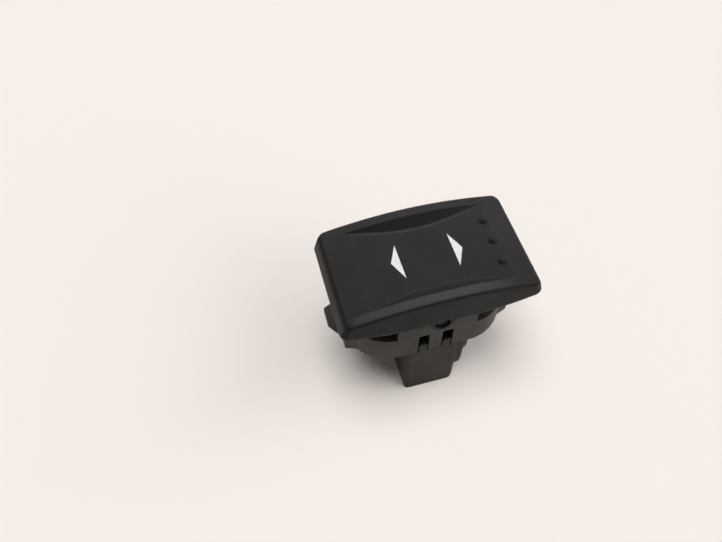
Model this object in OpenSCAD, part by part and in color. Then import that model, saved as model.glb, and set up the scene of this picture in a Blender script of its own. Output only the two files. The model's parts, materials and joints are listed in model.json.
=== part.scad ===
// Single rocker window switch for a vehicle door: a hollow rocker cap on two pivot pins,
// an oval housing that holds the plungers and contacts, and a base with a six-way socket.
// Millimetres. It stands on the mouth of the socket at z = 0, +Z up.
// +X points to the end of the cap with the three bumps, -Y to the front.

/* [Rocker cap] */
// Length of the cap along X, at the foot of its end walls
cap_len = 50; // [49:0.5:54]
// Width of the cap along Y
cap_w = 28.4; // [28.2:0.2:32]
// Corner radius of the cap in plan
cap_corner_r = 2.5; // [2:0.25:4]
// Lean of the end walls, which come in towards the top, in degrees
end_lean = 17; // [8:1:20]
// Thickness of the skirt
cap_wall = 1.5; // [1.2:0.1:1.8]
// Thickness of the roof under its rims
cap_roof = 3.3; // [3:0.1:3.6]
// Radius of the arch of the rims, along X
cap_arch_r = 104; // [98:1:130]
// Rounding of the long top edges
cap_edge_r = 0.7; // [0.4:0.1:1]
// Rounding of the short top edges
cap_end_r = 1.1; // [0.6:0.1:1.6]
// Depth of the skirt at mid-length, from the crown of the rims
skirt_h = 10.55; // [10.2:0.05:11]
// Radius of the lower edge of the skirt, which sags at mid-length
skirt_arch_r = 87; // [80:1:130]

/* [Face of the cap] */
// Drop of the face below the crown of the rims
face_drop = 1.6; // [1.3:0.05:1.7]
// Radius of the arch of the face, along X
face_arch_r = 1000; // [800:10:1400]
// Width of the face between its two rising flanks
face_w = 14.2; // [13:0.1:15]
// Radius of the hollow flanks that rise from the face to the rims
flank_r = 8; // [7.6:0.1:10]
// Radius of the section of the two finger grooves
groove_r = 3.3; // [3:0.1:4]
// Radius of the bottom of the grooves along X, which rises towards their ends
groove_sweep_r = 340; // [280:10:420]
// Depth of the grooves below the crown of the rims
groove_depth = 1.95; // [1.7:0.05:2.05]
// Distance from the side of the cap to the bottom of a groove
groove_inset = 5.3; // [5:0.1:5.8]
// Diameter of a bump
bump_d = 2.3; // [1.6:0.1:3]
// Height of a bump above the face
bump_h = 0.5; // [0.3:0.05:0.7]
// Spacing of the bumps along Y
bump_pitch = 6.3; // [5:0.1:7]
// Distance from the end of the cap to the row of bumps
bump_inset = 8.4; // [7:0.1:10]

/* [Arrow symbols] */
// Length of the base of an arrow, along Y
arrow_base = 10.3; // [8:0.1:12]
// Height of an arrow, along X
arrow_h = 2.4; // [1.8:0.1:3]
// Distance from the middle of the cap to the tip of an arrow
arrow_tip_x = 9; // [7:0.1:9.5]
// Thickness of the clear plate that carries the arrows
insert_t = 1.2; // [0.8:0.1:1.6]
// Width of the plate past the arrows, on every side
insert_margin = 1; // [0.8:0.1:1.2]

/* [Pivot] */
// Diameter of the pivot pins on the housing
pivot_d = 3.7; // [3:0.1:4.2]
// Wall of the round lug on the skirt, around the pin
lug_wall = 1.1; // [0.7:0.05:1.3]
// Height of the pivot axis above the deck of the housing
pivot_rise = 6.3; // [6.1:0.1:7.4]
// Height of the crown of the rims above the pivot axis
crown_rise = 10.55; // [10.2:0.05:11.2]
// Depth at which a pin ends inside the bore of its lug
pin_recess = 0.8; // [0.4:0.1:1]
// Tilt of the rocker each way, in degrees
rocker_tilt = 7; // [5:0.5:8]
// Reach of the rocker's pushing ribs below the pivot axis
rib_reach = 2.4; // [2:0.1:2.8]
// Thickness of the pushing ribs
rib_t = 2.5; // [2:0.1:3]
// Length of the pushing ribs along Y
rib_len = 12; // [8:0.5:14]

/* [Housing] */
// Length of the oval housing
tub_len = 43; // [42:0.5:45]
// Width of the oval housing
tub_w = 24; // [23.6:0.2:24.4]
// Thickness of its wall
tub_wall = 1.6; // [1.3:0.1:1.8]
// Thickness of its deck
deck_t = 1.3; // [1:0.1:1.8]
// Width of the deck beyond the side pads, where it leaves the housing open along the wall
deck_w = 16; // [14:0.5:18]
// Height of the rim above the underside of the deck, beside the side pads
rim_rise = 0.2; // [0.1:0.05:0.6]
// Half length of the raised side pads, which carry the pivot pins
pad_half = 10.3; // [9.6:0.1:11.2]
// Height of the side pads below the pivot axis
pad_drop = 0.6; // [0.4:0.1:1.4]
// Width of the pivot posts, between their windows
post_w = 3.5; // [3:0.1:4]
// Width of the windows beside the pivot posts
window_w = 2.8; // [2.4:0.1:3.2]
// Height of the sills of the windows above the underside of the housing
sill_h = 1.8; // [1.4:0.1:2.4]
// Reach of the end blocks past the ends of the housing
block_reach = 0.8; // [0.4:0.1:1.2]
// Width of an end block at its end face
block_w = 11.6; // [10:0.1:13]
// Width of an end block where it leaves the oval wall
block_root_w = 13.8; // [13.2:0.1:15]
// Height of the guides of the plungers above the deck
guide_h = 1.2; // [0.8:0.1:1.4]
// Wall of the guides of the plungers
guide_wall = 1.6; // [1.2:0.1:2]
// Length of the window for the lamp in the deck, along X
lamp_window_len = 9; // [8.6:0.1:9.2]
// Width of the window for the lamp in the deck
lamp_window_w = 5.6; // [4:0.1:6.4]

/* [Panel clips] */
// Reach of the clips past the ends of the housing
clip_reach = 4.1; // [2:0.1:5]
// Width of the clips
clip_w = 4.6; // [3:0.1:7]
// Height of the flat nose of a clip
clip_nose = 2; // [1:0.1:2.4]
// Height of the bottom of the nose above the underside of the housing
clip_z = 6.8; // [5.5:0.1:7]
// Slope of the top of a clip, in degrees
clip_slope = 40; // [30:1:45]
// Width of the relief slits beside a clip
slit_w = 0.8; // [0.6:0.1:1.2]

/* [Base and socket] */
// Thickness of the floor of the base inside the housing
floor_t = 2; // [1.6:0.1:3]
// Height of the socket, from its mouth to the underside of the housing
socket_h = 21.2; // [20.2:0.2:28]
// Depth of the hollow of the socket
socket_depth = 19; // [16:0.5:19.5]
// Width of the socket at its mouth, along X
mouth_w = 14; // [13.2:0.1:14.4]
// Width of the socket at the housing, along X
root_w = 15.4; // [14.8:0.1:16]
// Thickness of the wall of the socket
socket_wall = 1.4; // [1.2:0.1:1.6]
// Rounding of the upright edges of the socket
socket_edge_r = 2; // [1:0.1:2.5]
// Rounding of the upright edges of the hollow of the socket
cavity_r = 1; // [0.5:0.1:1.5]
// Rounding of the corners of the mouth
mouth_corner_r = 1.2; // [0.6:0.1:1.3]
// Radius of the coding rib on the right side
key_r = 2.3; // [1.6:0.1:2.5]
// Height of the lower end of the coding rib above the mouth
key_z = 6; // [3:0.5:10]
// Radius of the thick root of the coding rib
key_root_r = 3; // [2.6:0.1:3.4]
// Length of the thick root of the coding rib
key_root_h = 4.5; // [3:0.1:6]
// Reach of the latch nose on the back of the socket
latch_reach = 1.2; // [0.8:0.1:1.6]
// Width of the latch nose
latch_w = 6; // [4:0.1:8]
// Height of the foot of the latch nose above the mouth
latch_z = 4; // [2:0.1:6]
// Height of the latch nose
latch_h = 5; // [3:0.1:7]
// Reach of the snap hooks inwards, over the sills
hook_reach = 0.5; // [0.3:0.05:0.6]
// Height of the flat nose of a snap hook
hook_nose = 0.6; // [0.4:0.1:0.8]
// Height of a snap hook above its sill
hook_h = 1.6; // [1.2:0.1:2.4]
// Thickness of the tongue that carries a snap hook
hook_t = 0.9; // [0.8:0.05:1]
// Rounding of the upper corners of a snap hook
hook_r = 0.7; // [0.4:0.1:0.8]

/* [Terminals] */
// Width of a blade, along Y
blade_w = 2.8; // [2:0.1:3]
// Thickness of a blade, along X
blade_t = 0.8; // [0.6:0.1:1]
// Distance of the two columns of blades from the middle
blade_x = 3.5; // [3.2:0.1:3.6]
// Spacing of the blades along Y
blade_pitch = 6; // [5.4:0.1:6.4]
// Height of the tips of the blades above the mouth
blade_tip_z = 5.5; // [5:0.5:8]
// Size of the tapered tip of a blade
blade_taper = 0.7; // [0.4:0.1:0.9]
// Diameter of the posts that feed the lamp board
lamp_post_d = 1; // [0.8:0.1:1.2]

/* [Contacts] */
// Distance of the plungers from the middle, along X
plunger_x = 11.5; // [11.3:0.1:12]
// Diameter of the plungers in their guides
plunger_d = 4; // [3.6:0.1:4.4]
// Diameter of the lower stem of the plungers
stem_d = 2.6; // [2:0.1:2.8]
// Diameter of the collar of the plungers
collar_d = 6.4; // [5.6:0.1:6.8]
// Thickness of the collar of the plungers
collar_t = 1.2; // [0.8:0.1:1.6]
// Width of a contact bridge
bridge_w = 3.4; // [3.2:0.1:4]
// Thickness of a contact bridge
bridge_t = 0.6; // [0.4:0.1:0.8]
// Length of a contact bridge past its contact points
bridge_over = 1.5; // [1.3:0.1:2]
// Height of the contact points under a bridge
point_h = 0.4; // [0.3:0.05:0.6]
// Diameter of the contact points
point_d = 2.4; // [1.6:0.1:2.6]
// Height of the fixed contact rivets
rivet_h = 0.5; // [0.4:0.05:0.7]
// Outer diameter of the return springs
spring_d = 4.8; // [4.4:0.1:5.2]
// Wire of the return springs
spring_wire = 0.4; // [0.3:0.05:0.45]
// Turns of the return springs
spring_turns = 3; // [2:0.5:3]
// Wall of the rings that seat the springs
seat_wall = 0.6; // [0.4:0.1:0.8]
// Height of the rings that seat the springs
seat_h = 0.8; // [0.5:0.1:1]

/* [Lamp] */
// Length of the lamp board, along X
board_len = 10.2; // [9.8:0.1:10.4]
// Width of the lamp board
board_w = 8; // [7:0.1:9]
// Thickness of the lamp board
board_t = 0.8; // [0.6:0.1:1]
// Length of the lamp, along X
lamp_len = 3.4; // [2.4:0.1:4]
// Width of the lamp
lamp_w = 2.8; // [2:0.1:3.4]
// Height of the lamp
lamp_h = 1.9; // [1.2:0.1:2.4]
// Length of the resistor, along X
resistor_len = 3.2; // [2:0.1:3.6]
// Width of the resistor
resistor_w = 1.6; // [1:0.1:2]
// Height of the resistor
resistor_h = 0.6; // [0.4:0.05:0.8]

/* [Clearances] */
// Play between pieces that are pressed together
seat_play = 0.05; // [0.02:0.01:0.1]
// Radial play of the pivot pins in the lugs
pivot_play = 0.05; // [0.02:0.01:0.1]
// Radial play of the plungers in their guides
guide_play = 0.15; // [0.1:0.01:0.25]
// Gap between a pushing rib and its plunger at rest
push_gap = 0.15; // [0.1:0.01:0.25]
// Gap that the contacts keep at full travel
contact_gap = 0.15; // [0.1:0.01:0.3]
// Gap between the side pads and the skirt
side_gap = 0.4; // [0.3:0.05:0.5]
// Room between moving pieces and what they pass
run_gap = 0.3; // [0.2:0.05:0.5]

/* [Hidden] */
$fn = 64;
arc_fn = 1440;
eps = 0.01;
over = 1;

// Heights, stacked up from the mouth of the socket
travel = plunger_x * rocker_tilt * PI / 180;
z_under = socket_h;
z_floor = z_under + floor_t;
z_strip = z_floor + blade_t;
z_rivet = z_strip + rivet_h;
z_point = z_rivet + travel + contact_gap;
z_bridge = z_point + point_h;
z_collar = z_bridge + bridge_t;
z_collar_top = z_collar + collar_t;
z_deck = z_collar_top + travel + run_gap;
z_deck_top = z_deck + deck_t;
z_guide = z_deck_top + guide_h;
z_rim = z_deck + rim_rise;
z_pivot = z_deck_top + pivot_rise;
z_pad = z_pivot - pad_drop;
z_rib = z_pivot - rib_reach;
z_plunger = z_rib - push_gap;
z_crown = z_pivot + crown_rise;
z_face = z_crown - face_drop;
z_skirt = z_crown - skirt_h;
z_board = z_deck - board_t;
z_sill = z_under + sill_h;

// Plan sizes
tub_in_len = tub_len - 2 * tub_wall;
tub_in_w = tub_w - 2 * tub_wall;
lug_bore_d = pivot_d + 2 * pivot_play;
lug_r = lug_bore_d / 2 + lug_wall;
skirt_in = cap_w / 2 - cap_wall;
post_face = skirt_in - side_gap;
groove_y = cap_w / 2 - groove_inset;
window_x = post_w / 2 + window_w / 2;
sill_face = tub_w / 2 - hook_t - seat_play;
block_x = tub_len / 2 + block_reach;
arrow_base_x = arrow_tip_x - arrow_h;
insert_len = 2 * min(arrow_tip_x + insert_margin, plunger_x - rib_t / 2 - seat_play);
insert_w = arrow_base + 2 * insert_margin;
bump_x = cap_len / 2 - bump_inset;
guide_bore_d = plunger_d + 2 * guide_play;
guide_d = guide_bore_d + 2 * guide_wall;
socket_w = tub_w;
cavity_w = mouth_w - 2 * socket_wall;
cavity_l = socket_w - 2 * socket_wall;
hook_w = window_w - 2 * run_gap;
side_lean = atan((root_w - mouth_w) / 2 / socket_h);

// Height of an arch of radius r with its crown at z, at the distance x from the middle
function arch_z(z, r, x) = z - r + sqrt(r * r - x * x);

// Foot of the end walls, on the sagging lower edge of the skirt
z_end = 2 * z_skirt - arch_z(z_skirt, skirt_arch_r, cap_len / 2);

// Radius of the sphere that makes a dome of diameter d and height h
function dome_r(d, h) = (d * d / 4 + h * h) / (2 * h);

// Corners of an arrow that points along +X, drawn in by the distance p on all sides
function arrow_points(p) =
    let (b = arrow_base_x, t = arrow_tip_x, h = arrow_base / 2)
    let (slant = norm([t - b, h]), tip = t - p * slant / h)
    let (half = h * (tip - b - p) / (t - b))
    [[b + p, -half], [tip, 0], [b + p, half]];

// One ring of a coil: n points around the wire at the angle a of the coil
function coil_ring(r, wire, a, z, n) = [
    for (i = [0 : n - 1])
        let (q = 360 * i / n, rr = r + wire / 2 * cos(q))
        [rr * cos(a), rr * sin(a), z + wire / 2 * sin(q)]
];

// Flat shape with straight sides and half-round ends
module stadium(l, w) {
    square([l - w, w], center = true);
    for (s = [-1, 1])
        translate([s * (l - w) / 2, 0]) circle(d = w);
}

// Rectangle with round corners
module rounded_rect(l, w, r) {
    square([l - 2 * r, w], center = true);
    square([l, w - 2 * r], center = true);
    for (sx = [-1, 1], sy = [-1, 1])
        translate([sx * (l / 2 - r), sy * (w / 2 - r)]) circle(r);
}

// Profile drawn in X and Z, extruded along Y
module along_y(l) {
    rotate([90, 0, 0]) linear_extrude(l, center = true) children();
}

// Profile drawn in Y and Z, extruded along X
module along_x(l) {
    rotate([90, 0, 90]) linear_extrude(l, center = true) children();
}

// Solid under an arch of radius r along X, with its crown at z
module under_arch(z, r, w) {
    translate([0, 0, z - r]) rotate([90, 0, 0]) cylinder(r = r, h = w, center = true, $fn = arc_fn);
}

// Dome of diameter d and height h above z = 0, with a root below it
module dome(d, h, root) {
    r = dome_r(d, h);
    intersection() {
        translate([0, 0, h - r]) sphere(r);
        translate([0, 0, -root]) cylinder(d = 4 * r, h = root + h + eps);
    }
}

// Wheel segment that gives the roof its arch and the long edges their rounding
module roof_wheel() {
    translate([0, 0, z_crown - cap_arch_r])
        rotate([90, 0, 0])
            rotate_extrude($fn = arc_fn) {
                translate([0, -cap_w / 2]) square([cap_arch_r - cap_edge_r, cap_w]);
                translate([0, -cap_w / 2 + cap_edge_r]) square([cap_arch_r, cap_w - 2 * cap_edge_r]);
                for (s = [-1, 1])
                    translate([cap_arch_r - cap_edge_r, s * (cap_w / 2 - cap_edge_r)]) circle(cap_edge_r);
            }
}

// What lies outside the rounding of the short top edge at the +X end. The rounding's centre runs
// up the leaning end wall, at its own radius inside, until it is that radius under the roof's arch.
module end_rounding() {
    reach = cap_arch_r - cap_end_r;
    foot = cap_len / 2 - cap_end_r / cos(end_lean);
    rise = z_end - z_crown + cap_arch_r;
    b = rise * cos(end_lean) - foot * sin(end_lean);
    run = sqrt(b * b - foot * foot - rise * rise + reach * reach) - b;
    cx = foot - run * sin(end_lean);
    roof_lean = asin(cx / reach);
    far = 3 * cap_end_r;
    out = far * [cos(end_lean), sin(end_lean)];
    up = far * [sin(roof_lean), cos(roof_lean)];
    along_y(2 * cap_w)
        translate([cx, z_end + run * cos(end_lean)])
            difference() {
                polygon([[0, 0], out, out + up, up]);
                circle(cap_end_r);
            }
}

// Long block whose +X end leans as the cap's end wall does, with rounded corners, drawn in from
// the cap's outline by the distance p
module leaning_prism(p) {
    translate([cap_len / 2, 0, z_end])
        rotate([0, -end_lean, 0])
            translate([-p - cap_len, 0, -2 * skirt_h])
                linear_extrude(4 * skirt_h)
                    rounded_rect(2 * cap_len, cap_w - 2 * p, max(cap_corner_r - p, cap_wall / 2));
}

// What lies between the two leaning ends
module cap_block(p) {
    intersection() {
        leaning_prism(p);
        mirror([1, 0, 0]) leaning_prism(p);
    }
}

// Outer form of the cap: leaning ends, arched roof and sagging lower edge
module cap_form() {
    difference() {
        intersection() {
            cap_block(0);
            roof_wheel();
            translate([0, 0, z_skirt + skirt_arch_r])
                rotate([90, 0, 0]) cylinder(r = skirt_arch_r, h = 2 * cap_w, center = true, $fn = arc_fn);
        }
        end_rounding();
        mirror([1, 0, 0]) end_rounding();
    }
}

// Hollow of the cap, under its roof
module cap_hollow() {
    intersection() {
        cap_block(cap_wall);
        under_arch(z_crown - cap_roof, cap_arch_r - cap_roof, 2 * cap_w);
    }
}

// Wheel segment under the arched face and the hollow flanks on both sides of it
module face_wheel() {
    translate([0, 0, z_face - face_arch_r])
        rotate([90, 0, 0])
            rotate_extrude($fn = arc_fn) {
                translate([0, -cap_w / 2]) square([face_arch_r, cap_w]);
                for (m = [0, 1])
                    mirror([0, m])
                        difference() {
                            translate([face_arch_r - eps, face_w / 2]) square([flank_r, flank_r]);
                            translate([face_arch_r + flank_r, face_w / 2]) circle(flank_r);
                        }
            }
}

// What is cut from the rims' arch to leave the lower face and the two finger grooves
module face_cut() {
    span = min(cap_w, face_w + 2 * flank_r);
    difference() {
        translate([-cap_len, -span / 2, z_crown - cap_roof]) cube([2 * cap_len, span, 2 * cap_roof]);
        face_wheel();
    }
    for (s = [-1, 1])
        translate([0, s * groove_y, z_crown - groove_depth + groove_sweep_r])
            rotate([90, 0, 0])
                rotate_extrude($fn = arc_fn) translate([groove_sweep_r - groove_r, 0]) circle(groove_r);
}

// Both arrows as upright prisms, drawn in by the distance p
module arrows(p) {
    for (m = [0, 1])
        mirror([m, 0, 0])
            translate([0, 0, z_crown - 2 * cap_roof]) linear_extrude(4 * cap_roof) polygon(arrow_points(p));
}

module rocker_cap() {
    color("#2d2c2c")
        difference() {
            union() {
                difference() {
                    cap_form();
                    cap_hollow();
                    face_cut();
                    arrows(0);
                }
                for (i = [-1, 0, 1])
                    translate([bump_x, i * bump_pitch, arch_z(z_face, face_arch_r, bump_x)])
                        dome(bump_d, bump_h, cap_roof / 4);
                // Round lugs that carry the pivot bores, under the middle of the skirt
                for (s = [-1, 1])
                    translate([0, s * (cap_w / 2 - cap_wall / 2), z_pivot])
                        rotate([90, 0, 0]) cylinder(r = lug_r, h = cap_wall, center = true);
                // Ribs that push the plungers
                intersection() {
                    for (s = [-1, 1])
                        translate([s * plunger_x - rib_t / 2, -rib_len / 2, z_rib])
                            cube([rib_t, rib_len, z_crown - z_rib]);
                    under_arch(z_crown - cap_roof * 3 / 4, cap_arch_r, 2 * cap_w);
                }
            }
            translate([0, 0, z_pivot])
                rotate([90, 0, 0]) cylinder(d = lug_bore_d, h = 2 * cap_w, center = true);
        }
}

module symbol_insert() {
    plate_z = z_crown - cap_roof - seat_play;
    plate_r = cap_arch_r - cap_roof - seat_play;
    color("#f2f0ea") {
        intersection() {
            translate([-insert_len / 2, -insert_w / 2, z_crown - 4 * cap_roof])
                cube([insert_len, insert_w, 4 * cap_roof]);
            difference() {
                under_arch(plate_z, plate_r, cap_w);
                under_arch(plate_z - insert_t, plate_r - insert_t, 2 * cap_w);
            }
        }
        intersection() {
            arrows(seat_play);
            difference() {
                under_arch(z_face, face_arch_r, cap_w);
                under_arch(plate_z - insert_t / 2, plate_r - insert_t / 2, 2 * cap_w);
            }
        }
    }
}

// Clip at the +X end: a ramp up to a flat nose, and a slope back, at most to the top of the deck
module panel_clip() {
    x0 = tub_len / 2 - tub_wall * 3 / 4;
    x1 = tub_len / 2 + clip_reach;
    z0 = z_under + clip_z;
    back = min((z_deck_top - z0 - clip_nose) / tan(clip_slope), clip_reach);
    top = z0 + clip_nose + back * tan(clip_slope);
    along_y(clip_w)
        polygon([[x0, z_under], [block_x, z_under], [x1, z0], [x1, z0 + clip_nose],
                 [x1 - back, top], [x0, top]]);
}

// Block at the +X end of the oval wall, in plan
module end_block() {
    turn = (tub_len - tub_w) / 2;
    half = block_root_w / 2;
    root = turn + sqrt(tub_w * tub_w / 4 - half * half) - eps;
    polygon([[turn, 0], [root, -half], [block_x, -block_w / 2], [block_x, block_w / 2], [root, half]]);
}

// Oval wall with the blocks at its ends
module tub_wall_ring() {
    translate([0, 0, z_under])
        linear_extrude(z_rim - z_under)
            difference() {
                union() {
                    stadium(tub_len, tub_w);
                    end_block();
                    mirror([1, 0]) end_block();
                }
                stadium(tub_in_len, tub_in_w);
            }
}

// Pad on the +Y side, above the windows, with a round head and the pivot pin
module side_pad() {
    inner = tub_in_w / 2;
    translate([-pad_half, inner, z_deck]) cube([2 * pad_half, post_face - inner, z_pad - z_deck]);
    translate([0, (inner + post_face) / 2, z_pivot])
        rotate([90, 0, 0]) cylinder(r = lug_r, h = post_face - inner, center = true);
    translate([0, inner + eps, z_pivot])
        rotate([-90, 0, 0]) cylinder(d = pivot_d, h = cap_w / 2 - pin_recess - inner);
}

// What is cut from the +Y wall for one snap hook: a window, and room for the tongue before the sill
module hook_window() {
    translate([-window_w / 2, 0, z_sill]) cube([window_w, tub_w, z_deck - z_sill]);
    translate([-window_w / 2, sill_face, z_under - over]) cube([window_w, tub_w, z_deck - z_under + over]);
}

module housing() {
    color("#3a3836")
        difference() {
            union() {
                difference() {
                    tub_wall_ring();
                    for (sx = [-1, 1], m = [0, 1])
                        translate([sx * window_x, 0, 0]) mirror([0, m, 0]) hook_window();
                    // Relief slits beside the clips
                    for (sx = [-1, 1], sy = [-1, 1])
                        translate([sx * tub_len / 2, sy * (clip_w + slit_w) / 2, (z_floor + z_deck) / 2])
                            cube([tub_wall * 6, slit_w, z_deck - z_floor - 2 * run_gap], center = true);
                }
                for (m = [0, 1]) {
                    mirror([0, m, 0]) side_pad();
                    mirror([m, 0, 0]) panel_clip();
                }
                translate([0, 0, z_deck])
                    linear_extrude(deck_t) {
                        stadium(tub_in_len + tub_wall, deck_w);
                        square([2 * pad_half, tub_in_w + tub_wall], center = true);
                    }
                for (s = [-1, 1])
                    translate([s * plunger_x, 0, z_deck]) cylinder(d = guide_d, h = deck_t + guide_h);
            }
            for (s = [-1, 1])
                translate([s * plunger_x, 0, z_deck - over])
                    cylinder(d = guide_bore_d, h = deck_t + guide_h + 2 * over);
            translate([-lamp_window_len / 2, -lamp_window_w / 2, z_deck - over])
                cube([lamp_window_len, lamp_window_w, deck_t + 2 * over]);
        }
}

// What is cut away at the lower +X corner of the socket's front view
module mouth_corner() {
    inside = 90 + side_lean;
    run = mouth_corner_r / tan(inside / 2);
    far = 2 * mouth_corner_r;
    translate([mouth_w / 2 - run, mouth_corner_r])
        difference() {
            polygon([[0, 0], [0, -far], [far, -far], [far, 0],
                     mouth_corner_r * [cos(side_lean), -sin(side_lean)]]);
            circle(mouth_corner_r);
        }
}

// Outer form of the socket, a little wider at the housing than at its mouth
module socket_form() {
    intersection() {
        along_y(socket_w)
            difference() {
                polygon([[-mouth_w / 2, 0], [mouth_w / 2, 0],
                         [root_w / 2, z_under], [-root_w / 2, z_under]]);
                mouth_corner();
                mirror([1, 0]) mouth_corner();
            }
        linear_extrude(z_under) rounded_rect(root_w, socket_w, socket_edge_r);
    }
}

// Coding rib on the right side of the socket, near its front edge
module coding_rib() {
    translate([root_w / 2, -socket_w / 2 + key_root_r, 0]) {
        translate([0, 0, key_z + key_r]) {
            cylinder(r = key_r, h = z_under - key_z - key_r);
            sphere(key_r);
        }
        translate([0, 0, z_under - key_root_h]) cylinder(r = key_root_r, h = key_root_h);
    }
}

// Latch nose for the plug on the back of the socket
module latch_nose() {
    y = socket_w / 2;
    along_x(latch_w)
        polygon([[y - eps, latch_z], [y + latch_reach, latch_z + latch_h * 0.7],
                 [y + latch_reach, latch_z + latch_h], [y - eps, latch_z + latch_h]]);
}

// Snap hook on the +Y side: a tongue from the socket's wall, flush with the housing, that holds
// the sill of its window with a nose and has a ramp above it
module snap_hook() {
    outer = tub_w / 2;
    inner = outer - hook_t;
    z0 = z_sill + seat_play;
    top = z0 + hook_h;
    intersection() {
        along_x(hook_w)
            polygon([[outer, z_under - eps], [outer, top], [inner, top],
                     [inner - hook_reach, z0 + hook_nose], [inner - hook_reach, z0],
                     [inner, z0], [inner, z_under - eps]]);
        along_y(2 * tub_w)
            translate([0, z_under]) rounded_rect(hook_w, 2 * (top - z_under), hook_r);
    }
}

module base() {
    color("#3d3b38")
        difference() {
            union() {
                socket_form();
                translate([0, 0, z_under])
                    linear_extrude(floor_t) stadium(tub_in_len - 2 * seat_play, tub_in_w - 2 * seat_play);
                coding_rib();
                latch_nose();
                for (sx = [-1, 1], m = [0, 1])
                    translate([sx * window_x, 0, 0]) mirror([0, m, 0]) snap_hook();
                for (s = [-1, 1])
                    translate([s * plunger_x, 0, z_floor - eps])
                        difference() {
                            cylinder(d = spring_d + 2 * run_gap + 2 * seat_wall, h = seat_h + eps);
                            translate([0, 0, -over])
                                cylinder(d = spring_d + 2 * run_gap, h = seat_h + 2 * over);
                        }
            }
            translate([0, 0, -over])
                linear_extrude(socket_depth + over) rounded_rect(cavity_w, cavity_l, cavity_r);
            // Slots that hold the blades
            for (sx = [-1, 1], i = [-1, 0, 1])
                translate([sx * blade_x, i * blade_pitch, z_floor])
                    cube([blade_t + 2 * seat_play, blade_w + 2 * seat_play,
                          2 * (z_floor - socket_depth + over)], center = true);
        }
}

module plunger(s) {
    z_foot = z_floor + travel + run_gap;
    color("#e9e4d6")
        translate([s * plunger_x, 0, 0]) {
            translate([0, 0, z_foot]) cylinder(d = stem_d, h = z_collar - z_foot + eps);
            translate([0, 0, z_collar]) cylinder(d = collar_d, h = collar_t);
            translate([0, 0, z_collar]) cylinder(d = plunger_d, h = z_plunger - plunger_d / 2 - z_collar);
            translate([0, 0, z_plunger - plunger_d / 2]) sphere(d = plunger_d);
        }
}

module plunger_left() { plunger(-1); }
module plunger_right() { plunger(1); }

module contact_bridge(s) {
    len = 2 * (blade_pitch + bridge_over);
    color("#c08a4a")
        translate([s * plunger_x, 0, z_bridge])
            difference() {
                union() {
                    linear_extrude(bridge_t) rounded_rect(bridge_w, len, bridge_w / 4);
                    for (i = [-1, 1])
                        translate([0, i * blade_pitch, 0])
                            mirror([0, 0, 1]) dome(point_d, point_h, bridge_t / 2);
                }
                translate([0, 0, -over]) cylinder(d = stem_d + 2 * seat_play, h = bridge_t + 2 * over);
            }
}

module contact_bridge_left() { contact_bridge(-1); }
module contact_bridge_right() { contact_bridge(1); }

// Open coil from the floor of the base to the underside of the bridge
module return_spring(s) {
    sides = 8;
    per_turn = 18;
    rings = ceil(spring_turns * per_turn);
    r = (spring_d - spring_wire) / 2;
    z0 = z_floor + spring_wire / 2 + seat_play / 2;
    z1 = z_bridge - spring_wire / 2 - seat_play / 2;
    points = [
        for (k = [0 : rings])
            each coil_ring(r, spring_wire, 360 * spring_turns * k / rings,
                           z0 + (z1 - z0) * k / rings, sides)
    ];
    tube = [
        for (k = [0 : rings - 1], i = [0 : sides - 1])
            let (j = (i + 1) % sides)
            each [[k * sides + i, (k + 1) * sides + i, (k + 1) * sides + j],
                  [k * sides + i, (k + 1) * sides + j, k * sides + j]]
    ];
    first = [[for (i = [0 : sides - 1]) i]];
    last = [[for (i = [sides - 1 : -1 : 0]) rings * sides + i]];
    color("#b8bcc0") translate([s * plunger_x, 0, 0]) polyhedron(points, concat(tube, first, last));
}

module return_spring_left() { return_spring(-1); }
module return_spring_right() { return_spring(1); }

// Upright blade with a tapered tip, from its tip up to the height z
module blade(z) {
    w = blade_w / 2;
    along_x(blade_t)
        polygon([[-w + blade_taper, blade_tip_z], [w - blade_taper, blade_tip_z],
                 [w, blade_tip_z + 2 * blade_taper], [w, z], [-w, z], [-w, blade_tip_z + 2 * blade_taper]]);
}

// Blade whose upper end is bent outwards along the floor to the place of its rivet
module contact_terminal(sx, sy) {
    color("#c9a86a")
        translate([0, sy * blade_pitch, 0])
            mirror([sx < 0 ? 1 : 0, 0, 0]) {
                translate([blade_x, 0, 0]) blade(z_strip);
                translate([blade_x - blade_t / 2, -blade_w / 2, z_floor])
                    cube([plunger_x - blade_x + blade_t / 2 + blade_w / 2, blade_w, blade_t]);
            }
}

module terminal_left_front() { contact_terminal(-1, -1); }
module terminal_left_back() { contact_terminal(-1, 1); }
module terminal_right_front() { contact_terminal(1, -1); }
module terminal_right_back() { contact_terminal(1, 1); }

// Blade with a round post that carries and feeds the lamp board
module lamp_terminal(sx) {
    color("#c9a86a")
        translate([sx * blade_x, 0, 0]) {
            blade(z_strip);
            translate([0, 0, z_floor]) cylinder(d = lamp_post_d, h = z_deck + run_gap - z_floor);
        }
}

module terminal_lamp_left() { lamp_terminal(-1); }
module terminal_lamp_right() { lamp_terminal(1); }

module fixed_contact(sx, sy) {
    color("#d9dadb")
        translate([sx * plunger_x, sy * blade_pitch, z_strip])
            dome(point_d, rivet_h, 0);
}

module fixed_contact_left_front() { fixed_contact(-1, -1); }
module fixed_contact_left_back() { fixed_contact(-1, 1); }
module fixed_contact_right_front() { fixed_contact(1, -1); }
module fixed_contact_right_back() { fixed_contact(1, 1); }

module lamp_board() {
    color("#2f6b3c")
        translate([0, 0, z_board])
            difference() {
                translate([-board_len / 2, -board_w / 2, 0]) cube([board_len, board_w, board_t]);
                for (s = [-1, 1])
                    translate([s * blade_x, 0, -over])
                        cylinder(d = lamp_post_d + 2 * seat_play, h = board_t + 2 * over);
            }
}

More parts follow.
